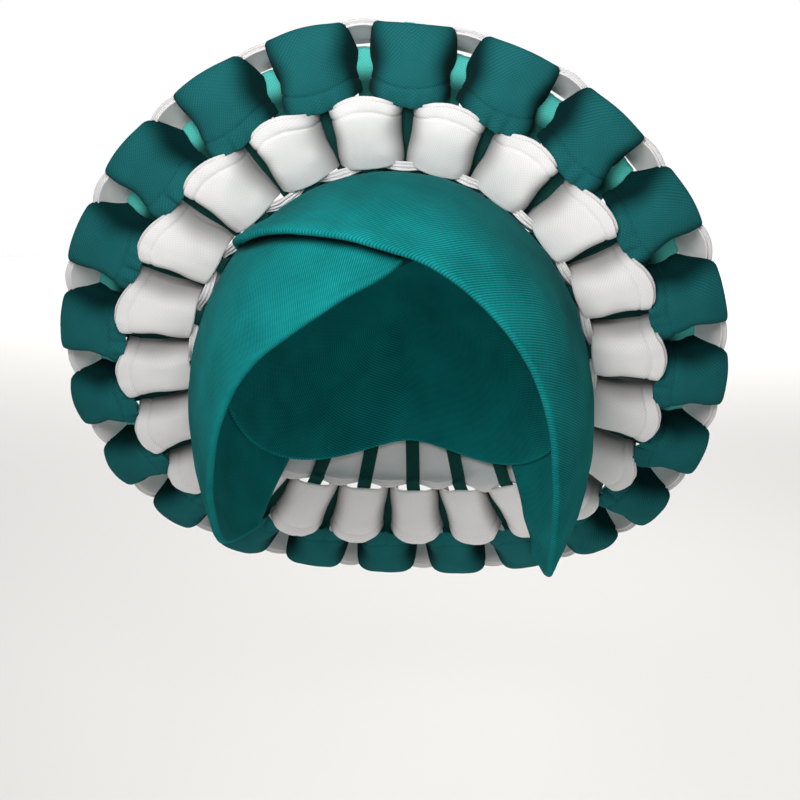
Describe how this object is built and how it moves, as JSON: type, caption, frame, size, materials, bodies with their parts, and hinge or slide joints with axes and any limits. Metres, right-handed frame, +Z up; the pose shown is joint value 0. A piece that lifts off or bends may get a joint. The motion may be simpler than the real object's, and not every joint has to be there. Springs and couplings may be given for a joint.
{
  "type": "tied gele head tie",
  "caption": "Ready-tied gele: close teal cap with crossed forehead bands and a round halo woven from teal and white cloth loops, held up as a head would hold it.",
  "frame": {"origin": "top of the head, against the inside of the cap's crown", "axes": "+Z up, -Y the way the wearer faces, +X to the wearer's left"},
  "size_m": [0.2853, 0.2092, 0.266],
  "materials": {
    "teal_cloth": "matt double knit with a fine diagonal rib",
    "white_cloth": "matt double knit with a fine diagonal rib"
  },
  "bodies": {
    "root": {"cap": "teal_cloth", "forehead_band_left": "teal_cloth", "forehead_band_right": "teal_cloth", "inner_hoop_white": "white_cloth", "loop_strip_white": "white_cloth", "loop_strip_teal": "teal_cloth", "rim_hoop_white": "white_cloth", "stake_white_01": "teal_cloth", "stake_white_02": "teal_cloth", "stake_white_03": "teal_cloth", "stake_white_04": "teal_cloth", "stake_white_05": "teal_cloth", "stake_white_06": "teal_cloth", "stake_white_07": "teal_cloth", "stake_white_08": "teal_cloth", "stake_white_09": "teal_cloth", "stake_white_10": "teal_cloth", "stake_white_11": "teal_cloth", "stake_white_12": "teal_cloth", "stake_white_13": "teal_cloth", "stake_white_14": "teal_cloth", "stake_white_15": "teal_cloth", "stake_white_16": "teal_cloth", "stake_white_17": "teal_cloth", "stake_white_18": "teal_cloth", "stake_white_19": "teal_cloth", "stake_white_20": "teal_cloth", "stake_white_21": "teal_cloth", "stake_white_22": "teal_cloth", "stake_teal_01": "teal_cloth", "stake_teal_02": "teal_cloth", "stake_teal_03": "teal_cloth", "stake_teal_04": "teal_cloth", "stake_teal_05": "teal_cloth", "stake_teal_06": "teal_cloth", "stake_teal_07": "teal_cloth", "stake_teal_08": "teal_cloth", "stake_teal_09": "teal_cloth", "stake_teal_10": "teal_cloth", "stake_teal_11": "teal_cloth", "stake_teal_12": "teal_cloth", "stake_teal_13": "teal_cloth", "stake_teal_14": "teal_cloth", "stake_teal_15": "teal_cloth", "stake_teal_16": "teal_cloth", "stake_teal_17": "teal_cloth", "stake_teal_18": "teal_cloth", "stake_teal_19": "teal_cloth", "stake_teal_20": "teal_cloth", "stake_teal_21": "teal_cloth", "stake_teal_22": "teal_cloth"}
  },
  "joints": []
}
